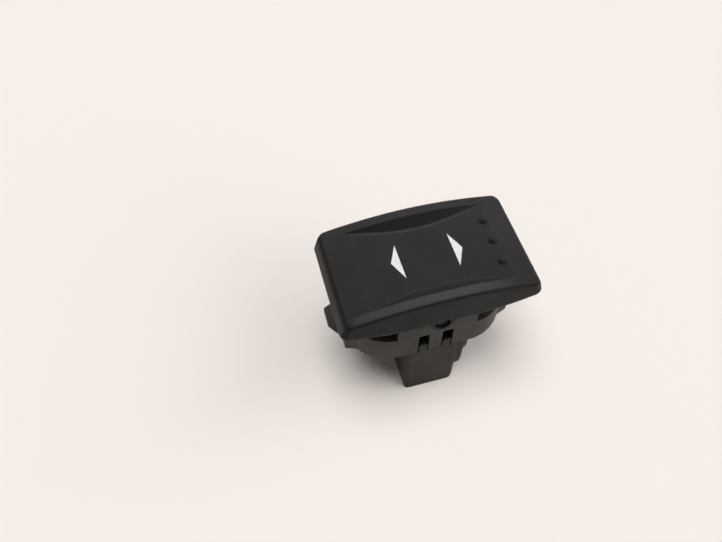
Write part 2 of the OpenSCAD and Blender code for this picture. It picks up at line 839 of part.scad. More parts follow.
module lamp() {
    color("#f4f1e6")
        translate([0, 0, z_deck]) {
            translate([-lamp_len / 2, -lamp_w / 2, 0]) cube([lamp_len, lamp_w, lamp_h * 0.8]);
            translate([0, 0, lamp_h * 0.8 - eps]) cylinder(d = lamp_w * 0.85, h = lamp_h * 0.2 + eps);
        }
}

module resistor() {
    color("#20201f")
        translate([-resistor_len / 2, -resistor_w / 2, z_board - resistor_h])
            cube([resistor_len, resistor_w, resistor_h]);
}

rocker_cap();
symbol_insert();
housing();
base();
plunger_left();
plunger_right();
contact_bridge_left();
contact_bridge_right();
return_spring_left();
return_spring_right();
terminal_left_front();
terminal_left_back();
terminal_right_front();
terminal_right_back();
terminal_lamp_left();
terminal_lamp_right();
fixed_contact_left_front();
fixed_contact_left_back();
fixed_contact_right_front();
fixed_contact_right_back();
lamp_board();
lamp();
resistor();
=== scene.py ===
"""Looks of a rocker window switch for a vehicle door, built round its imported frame.

The rocker cap is a skin of heights over a rounded plan, the housing and the socket are copies of
their solids with softened edges, the return springs are wire coils, and the inner pieces keep their
solids and get finishes of their own. Sizes in the classes are millimetres, and they become metres
where a mesh is made.
"""

import json
import logging
import math
from dataclasses import dataclass, field
from enum import Enum

import bmesh
import bpy
import numpy as np
from mathutils import Matrix, Vector


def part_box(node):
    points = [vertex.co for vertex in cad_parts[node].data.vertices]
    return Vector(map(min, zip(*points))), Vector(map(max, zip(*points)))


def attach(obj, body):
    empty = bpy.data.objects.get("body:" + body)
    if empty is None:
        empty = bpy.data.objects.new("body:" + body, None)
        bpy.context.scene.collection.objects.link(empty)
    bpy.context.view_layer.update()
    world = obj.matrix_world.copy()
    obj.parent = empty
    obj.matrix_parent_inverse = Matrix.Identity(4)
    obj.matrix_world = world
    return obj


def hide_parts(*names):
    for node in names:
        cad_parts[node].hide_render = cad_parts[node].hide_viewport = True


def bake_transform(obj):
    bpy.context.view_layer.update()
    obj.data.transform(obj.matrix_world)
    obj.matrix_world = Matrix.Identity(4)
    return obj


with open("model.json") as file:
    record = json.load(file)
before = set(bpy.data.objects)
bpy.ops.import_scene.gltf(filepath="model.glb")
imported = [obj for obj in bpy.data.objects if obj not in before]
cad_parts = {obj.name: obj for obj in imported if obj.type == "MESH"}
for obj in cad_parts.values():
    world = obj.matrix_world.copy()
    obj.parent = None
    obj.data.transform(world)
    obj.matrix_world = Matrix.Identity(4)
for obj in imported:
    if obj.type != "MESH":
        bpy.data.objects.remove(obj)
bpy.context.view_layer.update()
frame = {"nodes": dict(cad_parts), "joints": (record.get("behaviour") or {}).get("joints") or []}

LOG = logging.getLogger("window_switch")
MM = 0.001
Colour = tuple[float, float, float]
Triple = tuple[float, float, float]
Span = tuple[float, float]
Socket = bpy.types.NodeSocket
WHOLE: Span = (0.0, 1.0)
# Point attribute that paints points paler: scuffing on edges, painted highlights on the cap's long rims,
# end walls and far hollow line, and in part a painted highlight on the mouldings' rounded edges
WEAR_AND_HIGHLIGHT_MARK = "edge"
# Least length to divide by, in millimetres
TINY = 1e-9
# Points this close are one point, in metres
SAME_POINT = 1e-7


class Side(Enum):
    """The two ends of the rocker, with their sign along X."""

    LEFT = -1
    RIGHT = 1

    @property
    def word(self) -> str:
        """Name of the end, as the nodes spell it."""
        return self.name.lower()


class Grain(Enum):
    """Surface that a mould leaves: size and depth of its grain, in millimetres."""

    SPARKED = (0.30, 0.030)
    BLASTED = (0.16, 0.014)
    POLISHED = (0.80, 0.004)

    @property
    def size(self) -> float:
        """Width of one grain."""
        return self.value[0]

    @property
    def depth(self) -> float:
        """Height of the grain."""
        return self.value[1]


class NodeGraph:
    """Node tree of one material, with its main shader and its Object coordinates in place.

    The three numbers are those of the colour sockets on a node that mixes colours.
    """

    COLOUR_A = 6
    COLOUR_B = 7
    COLOUR_OUT = 2

    def __init__(self, name: str) -> None:
        """Starts a material.

        Args:
            name: name of the material.
        """
        self.material = bpy.data.materials.new(name)
        self.material.use_nodes = True
        self.tree = self.material.node_tree
        self.shader = self.tree.nodes["Principled BSDF"]
        self.place = self.add("ShaderNodeTexCoord").outputs["Object"]

    def feed(self, socket: Socket, value: object) -> None:
        """Links a socket to another node's output, or sets its value.

        Args:
            socket: the input to fill.
            value: an output socket to link, or a plain value.
        """
        if isinstance(value, Socket):
            self.tree.links.new(value, socket)
        else:
            socket.default_value = value

    def add(
        self, kind: str, inputs: dict[str | int, object] | None = None, **settings: object
    ) -> bpy.types.Node:
        """Adds a node, sets its options and fills its inputs.

        Args:
            kind: Blender's name for the kind of node.
            inputs: values or sockets, by the input's name or number.
            settings: options of the node itself.

        Returns:
            The new node.
        """
        node = self.tree.nodes.new(kind)
        for option, value in settings.items():
            setattr(node, option, value)
        for name, value in (inputs or {}).items():
            self.feed(node.inputs[name], value)
        return node

    def noise(self, size: float, detail: float = 2.0, stretch: Triple = (1.0, 1.0, 1.0)) -> Socket:
        """Noise from 0 to 1 over the piece.

        Args:
            size: width of one cell, in millimetres.
            detail: number of finer layers.
            stretch: how much longer a cell is along each axis.

        Returns:
            The noise's value.
        """
        scale = tuple(1.0 / (size * MM * s) for s in stretch)
        placed = self.add("ShaderNodeMapping", {"Vector": self.place, "Scale": scale})
        filled = {"Vector": placed.outputs["Vector"], "Scale": 1.0, "Detail": detail}
        return self.add("ShaderNodeTexNoise", filled).outputs["Fac"]

    def remap(self, value: Socket, part: Span, to: Span) -> Socket:
        """Spreads one part of a value's range over another range, and clamps it there."""
        limits = {"From Min": part[0], "From Max": part[1], "To Min": to[0], "To Max": to[1]}
        return self.add("ShaderNodeMapRange", {"Value": value, **limits}).outputs["Result"]

    def blend(self, share: object, first: object, second: object) -> Socket:
        """Mixes two colours by a share from 0 to 1."""
        filled = {0: share, self.COLOUR_A: solid(first), self.COLOUR_B: solid(second)}
        return self.add("ShaderNodeMix", filled, data_type="RGBA").outputs[self.COLOUR_OUT]

    def bump(self, height: Socket, depth: float, strength: float = 1.0) -> None:
        """Raises the surface by a height from 0 to 1, to a depth in millimetres."""
        filled = {"Height": height, "Distance": depth * MM, "Strength": strength}
        self.dress(Normal=self.add("ShaderNodeBump", filled).outputs["Normal"])

    def dress(self, **values: object) -> None:
        """Fills inputs of the main shader, named with underscores for spaces."""
        for name, value in values.items():
            self.feed(self.shader.inputs[name.replace("_", " ")], solid(value))


def solid(value: object) -> object:
    """A colour of three numbers as one of four, and any other value as it is."""
    return (*value, 1.0) if isinstance(value, tuple) and len(value) == 3 else value


@dataclass(frozen=True)
class MouldedPlastic:
    """Dark moulded plastic: fine grain, cloudy tone, pale specks, and marked points painted paler, partly
    as edge scuffing and partly as painted highlights.
    """

    name: str
    colour: Colour
    cloud: Colour
    rubbed_and_highlight: Colour
    roughness: float
    grain: Grain
    gloss: float = 0.5
    gloss_range: Span = (0.3, 0.7)
    gloss_swing: float = 0.05
    cloud_size: float = 9.0
    cloud_range: Span = (0.35, 0.7)
    speck_size: float = 2.5
    speck_range: Span = (0.62, 0.8)
    speck_share: float = 0.12
    wear_and_highlight_share: float = 0.8

    def material(self) -> bpy.types.Material:
        """Builds the finish.

        Returns:
            The material.
        """
        graph = NodeGraph(self.name)
        clouds = graph.noise(self.cloud_size, detail=4.0)
        specks = graph.noise(self.grain.size * self.speck_size, detail=3.0)
        tone = graph.blend(graph.remap(clouds, self.cloud_range, WHOLE), self.colour, self.cloud)
        pale = graph.remap(specks, self.speck_range, (0.0, self.speck_share))
        tone = graph.blend(pale, tone, self.rubbed_and_highlight)
        # Marked points are painted towards the paler colour: edge scuffing, and painted highlights that
        # stand in for light caught
        edge = graph.add("ShaderNodeAttribute", attribute_name=WEAR_AND_HIGHLIGHT_MARK).outputs["Fac"]
        wear_and_highlight_mix = graph.remap(edge, WHOLE, (0.0, self.wear_and_highlight_share))
        rough = (self.roughness + self.gloss_swing, self.roughness - self.gloss_swing)
        graph.dress(
            Base_Color=graph.blend(wear_and_highlight_mix, tone, self.rubbed_and_highlight),
            Roughness=graph.remap(clouds, self.gloss_range, rough),
            Specular_IOR_Level=self.gloss,
        )
        graph.bump(graph.noise(self.grain.size, detail=2.0), self.grain.depth)
        return graph.material


@dataclass(frozen=True)
class MilkyPlastic:
    """Pale plastic that light enters: a faint cloud in its colour and a soft glow below the surface."""

    name: str
    colour: Colour
    cloud: Colour
    roughness: float
    depth: float
    share: float
    gloss_range: Span = (0.3, 0.7)
    gloss_swing: Span = (-0.04, 0.06)
    cloud_size: float = 2.5
    cloud_range: Span = (0.35, 0.65)

    def material(self) -> bpy.types.Material:
        """Builds the finish.

        Returns:
            The material.
        """
        graph = NodeGraph(self.name)
        clouds = graph.noise(self.cloud_size, detail=3.0)
        rough = (self.roughness + self.gloss_swing[0], self.roughness + self.gloss_swing[1])
        graph.dress(
            Base_Color=graph.blend(graph.remap(clouds, self.cloud_range, WHOLE), self.colour, self.cloud),
            Roughness=graph.remap(clouds, self.gloss_range, rough),
            Subsurface_Weight=self.share,
            Subsurface_Scale=self.depth * MM,
        )
        graph.bump(graph.noise(Grain.BLASTED.size, detail=2.0), Grain.POLISHED.depth)
        return graph.material


@dataclass(frozen=True)
class StampedMetal:
    """Rolled and stamped metal: fine lines along the strip, with duller and warmer tarnish in places."""

    name: str
    colour: Colour
    tarnish: Colour
    roughness: float
    gloss_range: Span = (0.3, 0.75)
    gloss_swing: Span = (-0.06, 0.14)
    line: float = 0.05
    line_depth: float = 0.01
    line_strength: float = 0.5
    stretch: Triple = (1.0, 1.0, 24.0)
    stain_size: float = 1.8
    stain_range: Span = (0.45, 0.75)
    stain_share: float = 0.8

    def material(self) -> bpy.types.Material:
        """Builds the finish.

        Returns:
            The material.
        """
        graph = NodeGraph(self.name)
        lines = graph.noise(self.line, detail=2.0, stretch=self.stretch)
        stains = graph.noise(self.stain_size, detail=4.0)
        dull = graph.remap(stains, self.stain_range, (0.0, self.stain_share))
        rough = (self.roughness + self.gloss_swing[0], self.roughness + self.gloss_swing[1])
        graph.dress(
            Base_Color=graph.blend(dull, self.colour, self.tarnish),
            Roughness=graph.remap(stains, self.gloss_range, rough),
            Metallic=1.0,
        )
        graph.bump(lines, self.line_depth, strength=self.line_strength)
        return graph.material


@dataclass(frozen=True)
class BoardLaminate:
    """Circuit board laminate: a woven glass pattern under a green coat."""

    name: str
    colour: Colour
    weave: Colour
    roughness: float
    thread: float = 0.35
    thread_depth: float = 0.006
    band: float = 0.3
    waver: float = 0.4

    def material(self) -> bpy.types.Material:
        """Builds the finish.

        Returns:
            The material.
        """
        graph = NodeGraph(self.name)
        placed = graph.add("ShaderNodeMapping", {"Vector": graph.place, "Scale": (1.0 / MM,) * 3})
        bands = [
            graph.add(
                "ShaderNodeTexWave",
                {
                    "Vector": placed.outputs["Vector"],
                    "Scale": self.band / self.thread,
                    "Distortion": self.waver,
                },
                bands_direction=way,
            ).outputs["Fac"]
            for way in ("X", "Y")
        ]
        crossed = graph.add("ShaderNodeMath", {0: bands[0], 1: bands[1]}, operation="MULTIPLY")
        cloth = crossed.outputs["Value"]
        graph.dress(Base_Color=graph.blend(cloth, self.colour, self.weave), Roughness=self.roughness)
        graph.bump(cloth, self.thread_depth)
        return graph.material


Finish = MouldedPlastic | MilkyPlastic | StampedMetal | BoardLaminate

# The paler colours of these finishes are what marked points are painted towards: scuffing, and painted
# highlights
CAP_BLACK = MouldedPlastic(
    "cap_black",
    colour=(0.009, 0.0084, 0.0086),
    cloud=(0.011, 0.0104, 0.0106),
    rubbed_and_highlight=(0.049, 0.048, 0.048),
    roughness=0.42,
    grain=Grain.SPARKED,
    gloss=0.06,
)
BODY_BLACK = MouldedPlastic(
    "body_black",
    colour=(0.0135, 0.0115, 0.0085),
    cloud=(0.0175, 0.0155, 0.012),
    rubbed_and_highlight=(0.034, 0.031, 0.026),
    roughness=0.5,
    grain=Grain.BLASTED,
    gloss=0.22,
)
SOCKET_BLACK = MouldedPlastic(
    "socket_black",
    colour=(0.0115, 0.0100, 0.0080),
    cloud=(0.0145, 0.0130, 0.0105),
    rubbed_and_highlight=(0.032, 0.029, 0.025),
    roughness=0.5,
    grain=Grain.BLASTED,
    gloss=0.13,
)
CERAMIC = MouldedPlastic(
    "chip_ceramic",
    colour=(0.02, 0.02, 0.02),
    cloud=(0.03, 0.03, 0.03),
    rubbed_and_highlight=(0.08, 0.08, 0.08),
    roughness=0.4,
    grain=Grain.POLISHED,
)
SYMBOL_WHITE = MilkyPlastic(
    "symbol_white", (0.70, 0.69, 0.675), (0.67, 0.66, 0.65), roughness=0.42, depth=0.8, share=0.25
)
LAMP_WHITE = MilkyPlastic(
    "lamp_white", (0.88, 0.85, 0.76), (0.9, 0.88, 0.8), roughness=0.25, depth=0.5, share=0.2
)
ACETAL = MilkyPlastic(
    "natural_acetal", (0.78, 0.75, 0.68), (0.74, 0.70, 0.62), roughness=0.36, depth=0.6, share=0.2
)
COPPER = StampedMetal(
    "copper_strip", (0.72, 0.45, 0.26), (0.5, 0.3, 0.18), roughness=0.3, stretch=(1.0, 24.0, 1.0)
)
BRASS = StampedMetal("tinned_brass", (0.74, 0.66, 0.46), (0.56, 0.47, 0.3), roughness=0.3)
SILVER = StampedMetal(
    "silver_rivet", (0.82, 0.82, 0.83), (0.6, 0.59, 0.57), roughness=0.26, stretch=(1.0, 1.0, 1.0)
)
WIRE = StampedMetal("spring_wire", (0.6, 0.61, 0.62), (0.42, 0.42, 0.42), roughness=0.24, line=0.03)
LAMINATE = BoardLaminate("board_green", (0.06, 0.22, 0.09), (0.11, 0.3, 0.13), roughness=0.38)


def soft_min(first: np.ndarray, second: np.ndarray, width: float) -> np.ndarray:
    """The lower of two heights, with a parabola of that width where they cross."""
    share = np.clip(0.5 + 0.5 * (second - first) / width, 0.0, 1.0)
    return second * (1.0 - share) + first * share - width * share * (1.0 - share)


def arch(crown: float, radius: float, x: np.ndarray) -> np.ndarray:
    """Height of a circular arch along X, with its crown at x = 0."""
    return crown - radius + np.sqrt(radius**2 - x**2)


def grid_faces(rows: int, columns: int) -> np.ndarray:
    """Quads of a grid of points that are numbered row by row.

    Args:
        rows: number of rows of points.
        columns: number of points in a row.

    Returns:
        One row of four point numbers for each quad, anticlockwise where rows go up and columns right.
    """
    first = np.arange((rows - 1) * columns).reshape(rows - 1, columns)[:, :-1].ravel()
    return np.stack([first, first + 1, first + columns + 1, first + columns], axis=1)


def loop_faces(loops: list[np.ndarray]) -> np.ndarray:
    """Quads between closed loops of point numbers, each loop joined to the next.

    Args:
        loops: point numbers, the same count in every loop.

    Returns:
        One row of four point numbers for each quad.
    """
    pairs = zip(loops[:-1], loops[1:])
    bands = [np.stack([a, b, np.roll(b, -1), np.roll(a, -1)], axis=1) for a, b in pairs]
    return np.concatenate(bands)


def border_loop(rows: int, columns: int) -> np.ndarray:
    """Point numbers round the border of a grid, anticlockwise from its first point."""
    grid = np.arange(rows * columns).reshape(rows, columns)
    return np.concatenate([grid[0, :-1], grid[:-1, -1], grid[-1, :0:-1], grid[:0:-1, 0]])


def mesh_object(name: str, points: np.ndarray, faces: list[list[int]]) -> bpy.types.Object:
    """Puts points and faces into a new object at the origin.

    Args:
        name: name of the piece.
        points: one row of three millimetres for each point.
        faces: point numbers of each face.

    Returns:
        The new object, in the scene.
    """
    mesh = bpy.data.meshes.new(name)
    mesh.from_pydata((points * MM).tolist(), [], faces)
    mesh.update()
    piece = bpy.data.objects.new(name, mesh)
    bpy.context.scene.collection.objects.link(piece)
    return piece


def face_outwards(piece: bpy.types.Object) -> None:
    """Merges the doubles of a closed piece and turns its faces outwards.

    Args:
        piece: the object.
    """
    form = bmesh.new()
    form.from_mesh(piece.data)
    bmesh.ops.remove_doubles(form, verts=form.verts, dist=SAME_POINT)
    bmesh.ops.recalc_face_normals(form, faces=form.faces)
    form.to_mesh(piece.data)
    form.free()


def closed_rings(name: str, rings: np.ndarray) -> bpy.types.Object:
    """Closed object over rings of points, each joined to the next, with a face over both ends.

    Args:
        name: name of the piece.
        rings: points in millimetres, by ring and by place in the ring.

    Returns:
        The new object, in the scene.
    """
    count, around = rings.shape[:2]
    loops = np.arange(count * around).reshape(count, around)
    faces = loop_faces(list(loops)).tolist() + [loops[0].tolist(), loops[-1][::-1].tolist()]
    piece = mesh_object(name, rings.reshape(-1, 3), faces)
    face_outwards(piece)
    return piece


def rounded_block(
    size: np.ndarray,
    centre: np.ndarray,
    edge: float,
    turns: int = 24,
    rises: int = 12,
    pole_gap: float = 1e-4,
) -> np.ndarray:
    """Box with round edges, as one grid of directions.

    A direction n on the sphere, given by its turn and its rise, becomes the point
    centre + sign(n) * (size / 2 - edge) + edge * n.

    Args:
        size: outer size along each axis.
        centre: middle of the box.
        edge: radius of its edges.
        turns: number of directions round the sphere.
        rises: number of directions from pole to pole.
        pole_gap: share of the rise by which the last rings stay short of the poles.

    Returns:
        Rings of points, from the foot to the top.
    """
    turn = (np.arange(turns) + 0.5) * 2 * math.pi / turns
    rise = np.linspace(-math.pi / 2, math.pi / 2, rises) * (1 - pole_gap)
    angle, height = np.meshgrid(turn, rise)
    level = np.cos(height)
    way = np.stack([np.cos(angle) * level, np.sin(angle) * level, np.sin(height)], axis=-1)
    return centre + np.sign(way) * (size / 2 - edge) + edge * way


def smooth_faces(piece: bpy.types.Object, sharp_degrees: float) -> None:
    """Shades a piece smoothly, apart from edges that turn by more than the angle."""
    piece.data.shade_smooth()
    piece.data.set_sharp_from_angle(angle=math.radians(sharp_degrees))


def bake_modifiers(piece: bpy.types.Object) -> None:
    """Makes a piece's modifiers part of its own mesh.

    Args:
        piece: the object, whose modifiers are removed.
    """
    depsgraph = bpy.context.evaluated_depsgraph_get()
    made = bpy.data.meshes.new_from_object(piece.evaluated_get(depsgraph))
    piece.modifiers.clear()
    piece.data = made


def dress(piece: bpy.types.Object, material: bpy.types.Material) -> None:
    """Gives a piece one material in place of those that it has."""
    piece.data.materials.clear()
    piece.data.materials.append(material)


def add_piece(piece: bpy.types.Object, body: str, node: str) -> None:
    """Lets a finished piece ride on its body and stand for its node.

    Args:
        piece: the finished object.
        body: the body that it moves with.
        node: the node that it stands for.
    """
    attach(piece, body)
    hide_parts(node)
    LOG.info("%s rides on %s and stands for %s", piece.name, body, node)


@dataclass(frozen=True)
class CapGrid:
    """Spacing of the cap's points, which lie closer where its surface bends more."""

    column_step: float = 0.55
    lug_columns: int = 25
    lug_gap: float = 0.3
    bump_margin: float = 0.4
    bump_step: float = 0.13
    end_gap: float = 0.1
    end_step: float = 0.5
    end_edge_step: float = 0.2
    row_gap: float = 0.2
    row_step: float = 0.5
    wall_step: float = 0.1
    side_edge_step: float = 0.1
    turn_steps: int = 9
    skirt_rows: int = 8
    lip_angles: int = 4
    bore_sides: int = 64


@dataclass(frozen=True)
class CapWearAndHighlights:
    """Where the cap is painted paler: painted highlights on the long rims, on the end walls and along the
    far hollow line, and scuffing on the top and lower edges; shares from 0 to 1, and how far each one
    reaches.

    The left and right fades are the shares that the painted rim highlights lose on their way to those
    ends.
    """

    # Painted highlights on the two long rims, the near one brightest, standing in for light they catch
    near_rim_highlight: float = 1.0
    far_rim_highlight: float = 0.08
    rim_fade: float = 0.3
    left_fade: float = 0.6
    right_fade: float = 1.7
    end_fade: float = 1.8
    top_edge: float = 0.12
    top_edge_place: float = 0.8
    top_edge_width: float = 0.35
    top_start: float = 0.6
    foot_edge: float = 0.5
    foot_edge_width: float = 0.25
    # Painted highlight along the line where the far hollow wall meets the face
    crease_highlight: float = 0.7
    crease_width: float = 0.32
    crease_shift: float = 0.7
    crease_ends: float = 2.0
    # Painted highlight on the end walls, standing in for light on them
    end_wall_highlight: float = 0.55


@dataclass
class RockerCap:
    """Hollow rocker cap: arched top with a sunk face and bumps, and a skirt with two pivot lugs.

    Its ends lean. Points are placed with upright ends first, and lean then carries them out.
    """

    corner_radius: float = 1.8
    side_edge: float = 0.7
    end_edge: float = 1.4
    end_lean: float = 17.0
    lean_power: int = 4
    lean_passes: int = 8
    wall: float = 1.5
    roof: float = 3.3
    rim_arch: float = 104.0
    face_drop: float = 1.6
    face_dish: float = 1500.0
    rim_width: float = 2.75
    hollow_radius: float = 11.9
    hollow_depth: float = 2.4
    hollow_blend: float = 0.06
    skirt_depth: float = 10.55
    skirt_arch: float = 87.0
    lip: float = 0.25
    lug_radius: float = 3.0
    lug_blend: float = 0.5
    lug_rise: float = 6.0
    bore_radius: float = 1.9
    bore_chamfer: float = 0.2
    bump_width: float = 2.3
    bump_height: float = 0.6
    bump_pitch: float = 6.3
    bump_inset: float = 8.4
    bump_blend: float = 0.07
    bump_share: float = 0.98
    bump_fall: float = 4.0
    arrow_base: float = 10.3
    arrow_height: float = 2.4
    arrow_tip: float = 9.0
    rib_place: float = 11.5
    rib_reach: float = 2.4
    rib_thickness: float = 2.5
    rib_length: float = 12.0
    rib_edge: float = 0.3
    rib_root: float = 0.7
    sharp_degrees: float = 40.0
    grid: CapGrid = CapGrid()
    wear_and_highlights: CapWearAndHighlights = CapWearAndHighlights()
    foot_length: float = field(init=False)
    half_length: float = field(init=False)
    half_width: float = field(init=False)
    crown: float = field(init=False)
    pivot: float = field(init=False)
    end_foot: float = field(init=False)

    def __post_init__(self) -> None:
        """Takes the cap's size from its node and the height of the pivot from its joint.

        The half length of the top is found by steps: it is that of the foot less what the end wall
        leans in by on its way up to the roof.
        """
        _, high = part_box("rocker_cap")
        self.foot_length = high.x / MM
        self.half_width = high.y / MM
        self.crown = high.z / MM
        tilt = next(joint for joint in frame["joints"] if joint["name"] == "rocker_tilt")
        self.pivot = tilt["pos_m"][2] / MM
        self.end_foot = float(self.sag(np.array(self.foot_length)))
        self.half_length = self.foot_length
        for _ in range(self.lean_passes):
            rise = float(arch(self.crown, self.rim_arch, np.array(self.half_length))) - self.end_foot
            self.half_length = self.foot_length - rise * math.tan(math.radians(self.end_lean))

    @property
    def hollow_reach(self) -> float:
        """Distance from the rim to the lowest point of a hollow wall's arc."""
        return math.sqrt(self.hollow_depth * (2 * self.hollow_radius - self.hollow_depth))

    @property
    def bump_x(self) -> float:
        """Distance of the row of bumps from the middle."""
        return self.foot_length - self.bump_inset

    def sag(self, x: np.ndarray) -> np.ndarray:
        """Height of the sagging arc along the foot of the skirt."""
        foot = self.crown - self.skirt_depth
        return 2 * foot - arch(foot, self.skirt_arch, x)

    def lean(self, x: np.ndarray, z: np.ndarray) -> np.ndarray:
        """How far the leaning ends carry points out along X.

        The step is the tangent of the lean times the depth below the roof's arch. It grows with a
        power of the distance from the middle, so that the middle of the cap stays as it is.

        Args:
            x: places along the cap, with upright ends.
            z: heights of the points.

        Returns:
            Steps along X.
        """
        inside = np.clip(x, -self.half_length, self.half_length)
        depth = arch(self.crown, self.rim_arch, inside) - z
        share = (np.abs(inside) / self.half_length) ** self.lean_power
        return np.sign(x) * math.tan(math.radians(self.end_lean)) * depth * share

    def border(self, edge: float, step: float) -> np.ndarray:
        """Distances from the outline across the border, closest where the edge turns down.

        Over the rounding they are edge * (1 - cos(angle)) for even angles, and then even steps up to
        the corner radius.

        Args:
            edge: radius of the rounding.
            step: distance between stations past the rounding.

        Returns:
            Distances from 0 to just under the corner radius.
        """
        angle = np.linspace(0.0, math.pi / 2, self.grid.turn_steps + 1)
        past = np.arange(edge + step, self.corner_radius, step)
        return np.concatenate([edge * (1.0 - np.cos(angle)), past])

    def stations_x(self) -> np.ndarray:
        """Places of the grid's columns: even runs, closer at the lugs and at the bumps.

        Returns:
            X of each column, in order.
        """
        grid = self.grid
        inner = self.half_length - self.corner_radius
        fine = self.bump_width / 2 + grid.bump_margin
        runs = [
            np.arange(-inner, -self.lug_radius, grid.column_step),
            self.lug_radius * np.sin(np.linspace(-math.pi / 2, math.pi / 2, grid.lug_columns)),
            np.arange(self.lug_radius + grid.lug_gap, self.bump_x - fine, grid.column_step),
            np.arange(self.bump_x - fine, self.bump_x + fine, grid.bump_step),
            np.arange(self.bump_x + fine + grid.end_gap, inner, grid.end_step),
        ]
        ends = self.half_length - self.border(self.end_edge, grid.end_edge_step)
        return np.sort(np.concatenate([-ends, *runs, ends]))

    def stations_y(self) -> np.ndarray:
        """Places of the grid's rows: even runs, closer at the hollow walls and at the bumps.

        Returns:
            Y of each row, in order.
        """
        grid = self.grid
        inner = self.half_width - self.corner_radius
        fine = self.bump_width / 2 + grid.bump_margin
        bump = np.arange(-fine, fine, grid.bump_step)
        side = np.concatenate(
            [
                np.arange(fine + grid.row_gap, self.bump_pitch - fine, grid.row_step),
                self.bump_pitch + bump,
                np.arange(self.bump_pitch + fine, inner, grid.wall_step),
                self.half_width - self.border(self.side_edge, grid.side_edge_step),
            ]
        )
        return np.sort(np.concatenate([-side, bump, side]))

    def plan(self, inset: float) -> tuple[np.ndarray, np.ndarray]:
        """Places of the grid's points in plan, over the cap's outline drawn in by a distance.

        Outside the four corner squares a point is where its row and column cross. In a corner square
        with its own parameters p and q from 0 to 1, it is x = p * sqrt(1 - q^2 / 2) and
        y = q * sqrt(1 - p^2 / 2), which turns the square into a quarter disc.

        Args:
            inset: distance from the cap's outline.

        Returns:
            X and Y of every point, as two grids.
        """
        length, width = self.half_length - inset, self.half_width - inset
        radius = self.corner_radius - inset
        columns = self.stations_x() * length / self.half_length
        rows = self.stations_y() * width / self.half_width
        x, y = np.meshgrid(columns, rows)
        p = np.clip((np.abs(x) - length + radius) / radius, 0.0, 1.0)
        q = np.clip((np.abs(y) - width + radius) / radius, 0.0, 1.0)
        round_x = np.sign(x) * (length - radius + radius * p * np.sqrt(1.0 - q * q / 2.0))
        round_y = np.sign(y) * (width - radius + radius * q * np.sqrt(1.0 - p * p / 2.0))
        return np.where(p > 0.0, round_x, x), np.where(q > 0.0, round_y, y)

    def outline_distance(self, x: np.ndarray, y: np.ndarray) -> tuple[np.ndarray, np.ndarray]:
        """How far points lie inside the outline, and the radius of the edge rounding near them.

        The distance is the corner radius less the length of the step past the corner's centre. The
        rounding goes from the sides' radius to the ends' with the square of that step's cosine.

        Args:
            x: places along the cap.
            y: places across the cap.

        Returns:
            Distances, true up to the corner radius, and the radii of the rounding.
        """
        past_x = np.maximum(np.abs(x) - self.half_length + self.corner_radius, 0.0)
        past_y = np.maximum(np.abs(y) - self.half_width + self.corner_radius, 0.0)
        step = np.hypot(past_x, past_y)
        turn = (past_x / np.maximum(step, TINY)) ** 2
        return self.corner_radius - step, self.side_edge + (self.end_edge - self.side_edge) * turn

    def top_height(self, x: np.ndarray, y: np.ndarray) -> np.ndarray:
        """Height of the top.

        The rims are one arch along X. Between them the face is sunk, and from each rim a hollow wall
        runs down to it. The higher of face and wall is taken, then the lower of that and the rims,
        with soft crossings. Spherical bumps are added, and near the outline a quarter round is taken
        off.

        Args:
            x: places along the cap.
            y: places across the cap.

        Returns:
            Heights above the mouth of the socket.
        """
        rim = arch(self.crown, self.rim_arch, x)
        sunk = -soft_min(-self.face_height(x), -self.wall_height(x, y), self.hollow_blend)
        top = soft_min(sunk, rim, self.hollow_blend)
        top = -soft_min(-top, -self.bump_domes(x, y), self.bump_blend)
        distance, edge = self.outline_distance(x, y)
        short = np.clip(edge - distance, 0.0, edge)
        return top - edge + np.sqrt(edge**2 - short**2)

    def face_height(self, x: np.ndarray) -> np.ndarray:
        """Height of the sunk face, which rises to its ends as a parabola."""
        return self.crown - self.face_drop + x**2 / (2 * self.face_dish)

    def wall_height(self, x: np.ndarray, y: np.ndarray) -> np.ndarray:
        """Height of the hollow walls inside the rims.

        A wall is an arc across the cap: at a distance t inside the rim, its depth below the rim's arch
        is depth - radius + sqrt(radius^2 - (reach - t)^2), up to the arc's lowest point at the reach.

        Args:
            x: places along the cap.
            y: places across the cap.

        Returns:
            Heights, equal to the rim's arch outside the walls.
        """
        radius, reach = self.hollow_radius, self.hollow_reach
        inside = np.clip(self.half_width - self.rim_width - np.abs(y), 0.0, reach)
        fall = self.hollow_depth - radius + np.sqrt(radius**2 - (reach - inside) ** 2)
        return arch(self.crown, self.rim_arch, x) - fall

    def crease_highlight(self, x: np.ndarray, y: np.ndarray) -> np.ndarray:
        """How close points lie to the line where the far hollow wall meets the face, along which a
        highlight is painted.

        That line lies t = reach - sqrt(radius^2 - (radius - depth + drop)^2) inside the rim, where drop
        is how far the face lies below the rim's arch. The closeness is a bell curve of the distance,
        whose middle lies a little to the face's side of the line.

        Args:
            x: places along the cap.
            y: places across the cap.

        Returns:
            1 beside the line, and 0 away from it and past its ends.
        """
        radius, depth = self.hollow_radius, self.hollow_depth
        drop = arch(self.crown, self.rim_arch, x) - self.face_height(x)
        level = radius - depth + np.clip(drop, 0.0, depth)
        line = self.half_width - self.rim_width - self.hollow_reach + np.sqrt(radius**2 - level**2)
        ends = np.clip(self.wear_and_highlights.crease_ends * drop / self.face_drop, 0.0, 1.0)
        return ends * np.exp(-(((y - line) / self.wear_and_highlights.crease_width + self.wear_and_highlights.crease_shift) ** 2))

